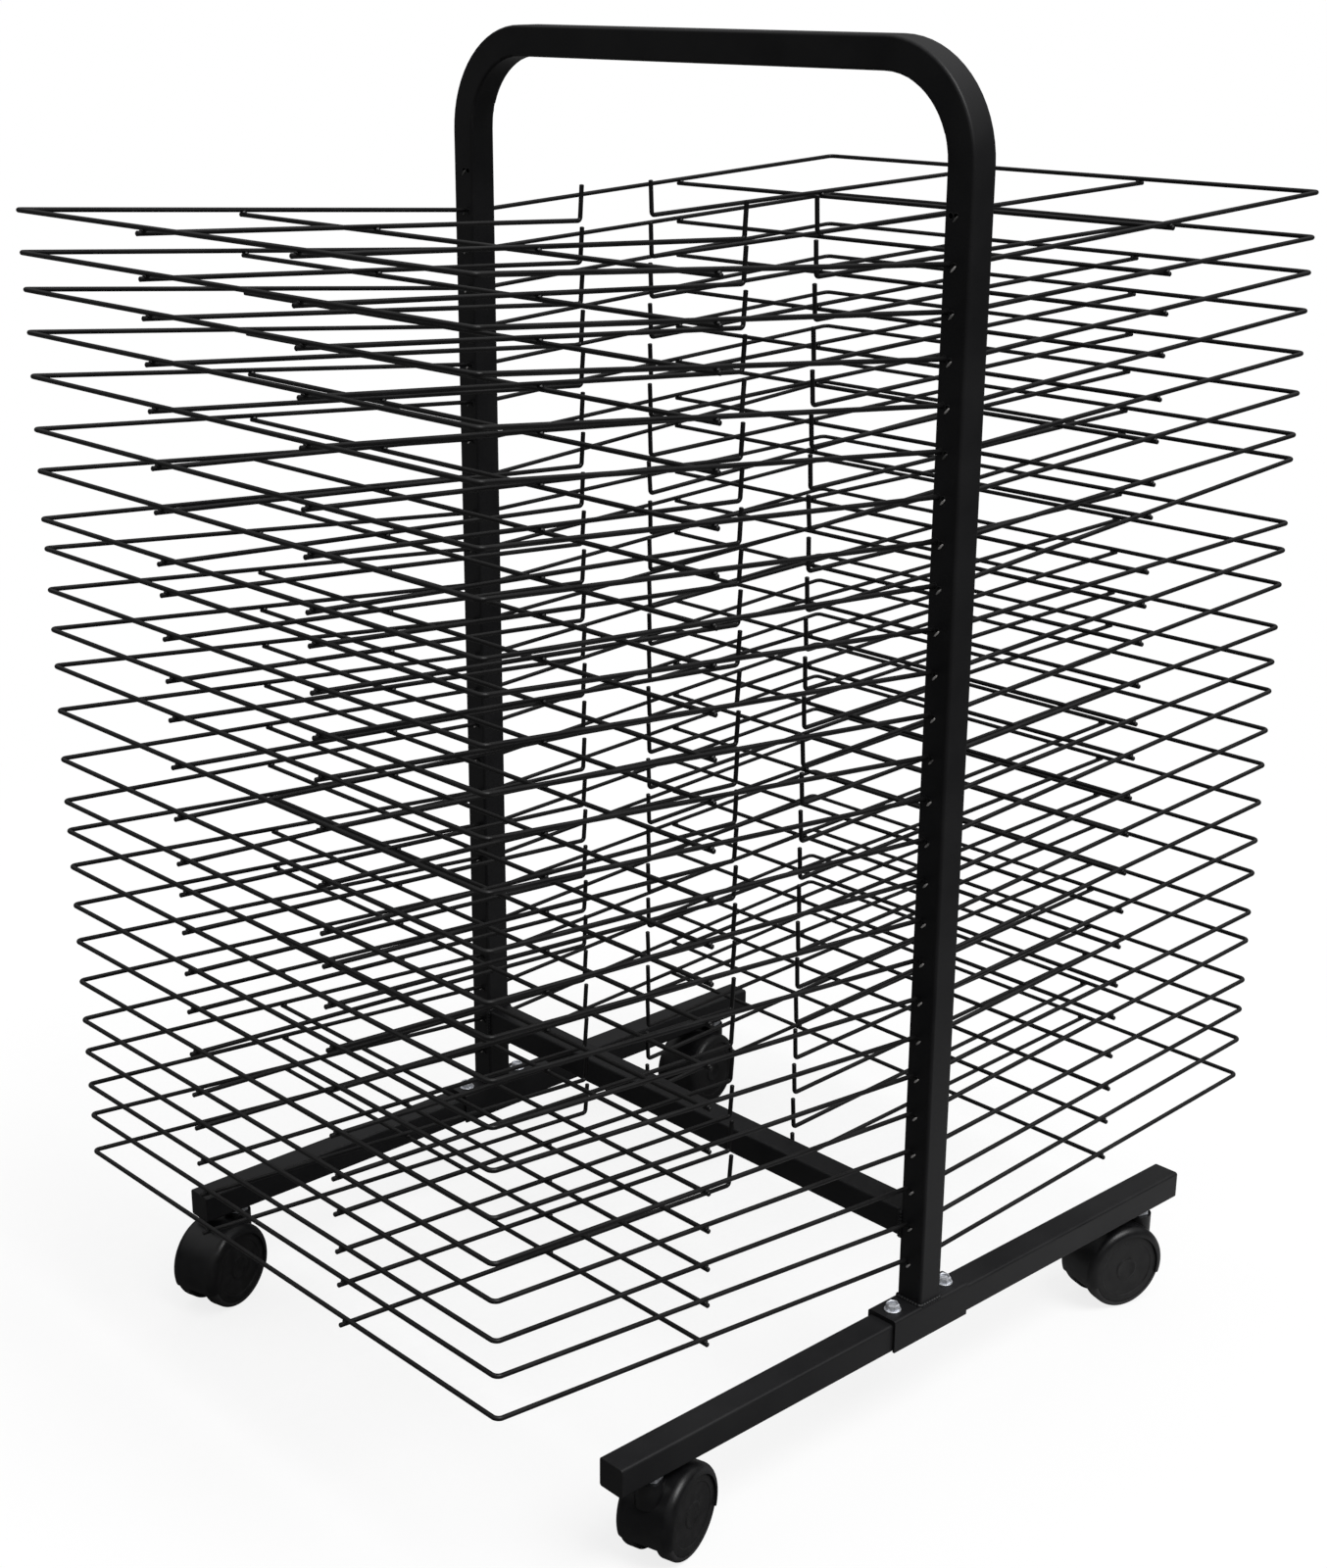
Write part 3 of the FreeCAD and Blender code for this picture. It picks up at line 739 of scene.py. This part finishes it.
class RACK_OT_washers(bpy.types.Operator):
    """Makes the washers over the saddles and under the feet"""
    bl_idname = "rack.washers"
    bl_label = "Washers"

    def execute(self, context):
        sizes = context.scene.rack_sizes
        edge, hole = sizes.washer_edge, sizes.thread / 2.0 + sizes.washer_edge
        maker = bmesh.new()
        for low, high in boxes("foot_washers"):
            radius, height = (high.x - low.x) / 2.0, high.z - low.z
            ring = lathe([(hole, edge), (hole + edge, 0.0), (radius - edge, 0.0), (radius, edge),
                          (radius, height - edge), (radius - edge, height), (hole + edge, height),
                          (hole, height - edge)], WASHER_STEPS, closed=True)
            place = ((low.x + high.x) / 2.0, (low.y + high.y) / 2.0, low.z)
            stamp(maker, ring, Matrix.Translation(place))
            bpy.data.meshes.remove(ring)
        washers = finished_piece("flat_washers", maker, body_of("foot_washers"), "zinc_steel")
        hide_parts("foot_washers")
        return {"FINISHED"}


class RACK_OT_nuts(bpy.types.Operator):
    """Makes the nuts under the feet"""
    bl_idname = "rack.nuts"
    bl_label = "Nuts"

    def execute(self, context):
        sizes = context.scene.rack_sizes
        maker = bmesh.new()
        for low, high in boxes("foot_nuts"):
            nut = hex_block(sizes.hex_across, high.z - low.z, sizes.hex_chamfer)
            place = Matrix.Translation(((low.x + high.x) / 2.0, (low.y + high.y) / 2.0, high.z))
            stamp(maker, nut, place @ Matrix.Rotation(math.pi, 4, "X"))
            bpy.data.meshes.remove(nut)
        nuts = finished_piece("hex_nuts", maker, body_of("foot_nuts"), "zinc_steel")
        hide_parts("foot_nuts")
        return {"FINISHED"}


def tread_profile(sizes):
    """Half section of a castor wheel's tread, as (radius, distance from the castor's middle) points."""
    rim, inner, outer = sizes.wheel / 2.0, sizes.wheel_inner, sizes.wheel_outer
    seat = sizes.wheel_disc - TREAD_OVERLAP * MM
    shoulder = rim - sizes.wheel_disc
    groove = (inner + outer) / 2.0
    section = [(rim - depth * MM, inner + rise * MM) for depth, rise in TREAD_INNER_EDGE]
    section += [(rim - depth * MM, groove + across * MM) for depth, across in TREAD_GROOVE]
    for step in range(TREAD_SHOULDER_STEPS + 1):
        angle = math.pi / 2.0 * step / TREAD_SHOULDER_STEPS
        section.append((rim - shoulder + shoulder * math.cos(angle),
                        outer - shoulder + shoulder * math.sin(angle)))
    return [(seat, section[0][1])] + section + [(seat, outer)]


def disc_profile(sizes):
    """Half section of a castor wheel's disc and hub cap, in the same way."""
    edge, inner, outer = sizes.wheel_disc, sizes.wheel_inner, sizes.wheel_outer
    section = [(0.0, inner)]
    section += [(edge - inset * MM, inner + rise * MM) for inset, rise in DISC_INNER_EDGE]
    section += [(edge - inset * MM, outer - depth * MM) for inset, depth in DISC_OUTER_EDGE]
    section += [(radius * MM, outer - depth * MM) for radius, depth in DISC_FACE]
    return section


class RACK_OT_wheels(bpy.types.Operator):
    """Makes the twin wheels of each castor: black discs in dark grey treads"""
    bl_idname = "rack.wheels"
    bl_label = "Wheels"

    def execute(self, context):
        sizes = context.scene.rack_sizes
        disc = lathe(disc_profile(sizes), WHEEL_STEPS)
        tread = lathe(tread_profile(sizes), WHEEL_STEPS, closed=True)
        rings = (("_wheel_discs", disc, "castor_disc"), ("_wheel_treads", tread, "castor_tread"))
        for castor in CASTORS:
            roll = next(joint for joint in frame["joints"] if joint["name"] == castor + "_roll")
            place, axle = Vector(roll["pos_m"]), Vector(roll["axis"])
            body = body_of(castor + "_castor_wheels")
            for name, shape, finish in rings:
                maker = bmesh.new()
                for side in (-1.0, 1.0):
                    stamp(maker, shape, axes_to(axle * side, place))
                pair = finished_piece(castor + name, maker, body, finish, WHEEL_SHARP)
                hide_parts(castor + "_castor_wheels")
        bpy.data.meshes.remove(disc)
        bpy.data.meshes.remove(tread)
        return {"FINISHED"}


# ---- stage ----
FLOOR_RADIUS = 14.0
FLOOR_STEPS = 64
# the floor's grey, as linear values: for the camera, and for the light that it throws on the rack, with a
# paler painted pool of light beside the rack's right foot
FLOOR_SEEN = (0.90, 0.90, 0.90, 1.0)
FLOOR_DARK = (0.12, 0.12, 0.12, 1.0)
FLOOR_PAINTED_POOL = (0.50, 0.50, 0.50, 1.0)
# the painted pool of light: its middle, and the distances over which it fades
PAINTED_POOL_MIDDLE = (0.42, 0.42, 0.0)
PAINTED_POOL_FROM, PAINTED_POOL_TO = 0.15, 0.65  # the lit patch fades out between these distances from its middle
SPECK_MM, SPECK_LEAST = 400.0, 0.98  # faint clouds in the floor's grey
PAPER_SHARE = 0.82  # of plain white in the floor's look under the rack
PAPER_FROM, PAPER_TO = 0.7, 1.8  # it grows to all white between these distances
ROOM_LOW, ROOM_HIGH = 0.08, 0.95  # the room's light on the rack, low down and overhead
ROOM_FROM, ROOM_TO = 0.25, 0.95  # it grows between these heights of its direction
KEY_STRENGTH = 2.4
KEY_SPREAD = 35.0  # degrees
KEY_DIRECTION = Vector((-0.55, -0.05, -0.85))
WHITE = (1.0, 1.0, 1.0, 1.0)
CAMERA_PLACE = Vector((1.3916, -1.3508, 1.1540))
CAMERA_FORWARD = Vector((-0.7083, 0.6218, -0.3342))
CAMERA_ROLL = -0.383  # degrees
CAMERA_LENS, CAMERA_SENSOR = 55.19, 36.0  # millimetres
CAMERA_SHIFT = (0.0555, 0.0151)
CAMERA_NEAR, CAMERA_FAR = 0.05, 60.0


class RACK_OT_stage(bpy.types.Operator):
    """Makes the floor, the light and the camera"""
    bl_idname = "rack.stage"
    bl_label = "Stage"

    def execute(self, context):
        make_floor()
        make_light(context.scene)
        make_camera(context.scene)
        return {"FINISHED"}


def make_floor():
    """A plain pale floor that fades into the white backdrop away from the rack."""
    maker = bmesh.new()
    bmesh.ops.create_circle(maker, cap_ends=True, segments=FLOOR_STEPS, radius=FLOOR_RADIUS)
    mesh = bpy.data.meshes.new("floor")
    maker.to_mesh(mesh)
    maker.free()
    floor = bpy.data.objects.new("floor", mesh)
    bpy.context.scene.collection.objects.link(floor)
    material, tree, shader, place = new_material("white_floor")
    distance = add_node(tree, "ShaderNodeVectorMath", {0: place}, operation="LENGTH").outputs["Value"]
    camera_ray = add_node(tree, "ShaderNodeLightPath").outputs["Is Camera Ray"]
    # to the rack the floor is dark, but for a pool of light painted on it beside its right foot
    beside = add_node(tree, "ShaderNodeVectorMath", {0: place, 1: PAINTED_POOL_MIDDLE}, operation="DISTANCE")
    painted_pool = remap(tree, beside.outputs["Value"], 1.0, 0.0, PAINTED_POOL_FROM, PAINTED_POOL_TO)
    pale = mixed(tree, camera_ray, mixed(tree, painted_pool, FLOOR_DARK, FLOOR_PAINTED_POOL), FLOOR_SEEN)
    speck = remap(tree, noise(tree, place, SPECK_MM).outputs["Fac"], SPECK_LEAST, 1.0)
    tint = add_node(tree, "ShaderNodeVectorMath", {0: pale, "Scale": speck}, operation="SCALE")
    tree.links.new(tint.outputs["Vector"], shader.inputs["Base Color"])
    shader.inputs["Roughness"].default_value = 0.9
    shader.inputs["Specular IOR Level"].default_value = 0.1
    paper = add_node(tree, "ShaderNodeEmission", {"Color": WHITE, "Strength": 1.0})
    glow = remap(tree, distance, PAPER_SHARE, 1.0, PAPER_FROM, PAPER_TO)
    share = add_node(tree, "ShaderNodeMath", {0: glow, 1: camera_ray}, operation="MULTIPLY")
    blend = add_node(tree, "ShaderNodeMixShader", {0: share.outputs["Value"], 1: shader.outputs["BSDF"],
                                                   2: paper.outputs["Emission"]})
    output = next(node for node in tree.nodes if node.type == "OUTPUT_MATERIAL")
    tree.links.new(blend.outputs["Shader"], output.inputs["Surface"])
    floor.data.materials.append(material)


def make_light(scene):
    """A white room for the camera, dimmer for the rack, with one broad soft key."""
    world = bpy.data.worlds.new("studio")
    world.use_nodes = True
    scene.world = world
    tree = world.node_tree
    tree.nodes.clear()
    seen = add_node(tree, "ShaderNodeBackground", {"Color": WHITE, "Strength": 1.0})
    direction = add_node(tree, "ShaderNodeTexCoord").outputs["Generated"]
    height = add_node(tree, "ShaderNodeSeparateXYZ", {"Vector": direction}).outputs["Z"]
    level = remap(tree, height, ROOM_LOW, ROOM_HIGH, ROOM_FROM, ROOM_TO)
    fill = add_node(tree, "ShaderNodeBackground", {"Color": WHITE, "Strength": level})
    camera_ray = add_node(tree, "ShaderNodeLightPath").outputs["Is Camera Ray"]
    both = add_node(tree, "ShaderNodeMixShader", {0: camera_ray, 1: fill.outputs["Background"],
                                                  2: seen.outputs["Background"]})
    add_node(tree, "ShaderNodeOutputWorld", {"Surface": both.outputs["Shader"]})
    key = bpy.data.lights.new("key", "SUN")
    key.energy = KEY_STRENGTH
    key.angle = math.radians(KEY_SPREAD)
    lamp = bpy.data.objects.new("key", key)
    scene.collection.objects.link(lamp)
    lamp.rotation_mode = "QUATERNION"
    lamp.rotation_quaternion = KEY_DIRECTION.to_track_quat("-Z", "Y")


def make_camera(scene):
    """The camera, in front of the rack and to its right, a little above it."""
    data = bpy.data.cameras.new("camera")
    data.sensor_width = CAMERA_SENSOR
    data.lens = CAMERA_LENS
    data.shift_x, data.shift_y = CAMERA_SHIFT
    data.clip_start, data.clip_end = CAMERA_NEAR, CAMERA_FAR
    camera = bpy.data.objects.new("camera", data)
    scene.collection.objects.link(camera)
    forward = CAMERA_FORWARD.normalized()
    side = forward.cross(UP).normalized()
    top = side.cross(forward)
    roll = math.radians(CAMERA_ROLL)
    right = side * math.cos(roll) + top * math.sin(roll)
    turn = Matrix((right, right.cross(forward), -forward)).transposed()
    camera.matrix_world = Matrix.Translation(CAMERA_PLACE) @ turn.to_4x4()
    scene.camera = camera
    scene.view_settings.view_transform = "Standard"


class RACK_PT_pieces(bpy.types.Panel):
    """Lists the operators in the 3D view's sidebar"""
    bl_idname = "RACK_PT_pieces"
    bl_label = "Drying rack"
    bl_space_type = "VIEW_3D"
    bl_region_type = "UI"
    bl_category = "Drying rack"

    def draw(self, context):
        for operator in OPERATORS:
            self.layout.operator(operator.bl_idname)


OPERATORS = (RACK_OT_finishes, RACK_OT_wire_welds, RACK_OT_wire_tips, RACK_OT_hole_rims,
             RACK_OT_worn_edges, RACK_OT_weld_beads, RACK_OT_bolts, RACK_OT_washers,
             RACK_OT_nuts, RACK_OT_wheels, RACK_OT_stage)
CLASSES = (RackSizes, RackColours, *OPERATORS, RACK_PT_pieces)


def register():
    """Registers the add-on's classes and its settings."""
    for part in CLASSES:
        bpy.utils.register_class(part)
    bpy.types.Scene.rack_sizes = PointerProperty(type=RackSizes)
    bpy.types.Scene.rack_colours = PointerProperty(type=RackColours)


def unregister():
    """Takes them away again."""
    del bpy.types.Scene.rack_colours
    del bpy.types.Scene.rack_sizes
    for part in reversed(CLASSES):
        bpy.utils.unregister_class(part)


def main():
    """Builds the rack and its stage."""
    register()
    bpy.ops.rack.finishes()
    bpy.ops.rack.wire_welds()
    bpy.ops.rack.wire_tips()
    bpy.ops.rack.hole_rims()
    bpy.ops.rack.worn_edges()
    bpy.ops.rack.weld_beads()
    bpy.ops.rack.bolts()
    bpy.ops.rack.washers()
    bpy.ops.rack.nuts()
    bpy.ops.rack.wheels()
    bpy.ops.rack.stage()


if __name__ == "__main__":
    main()
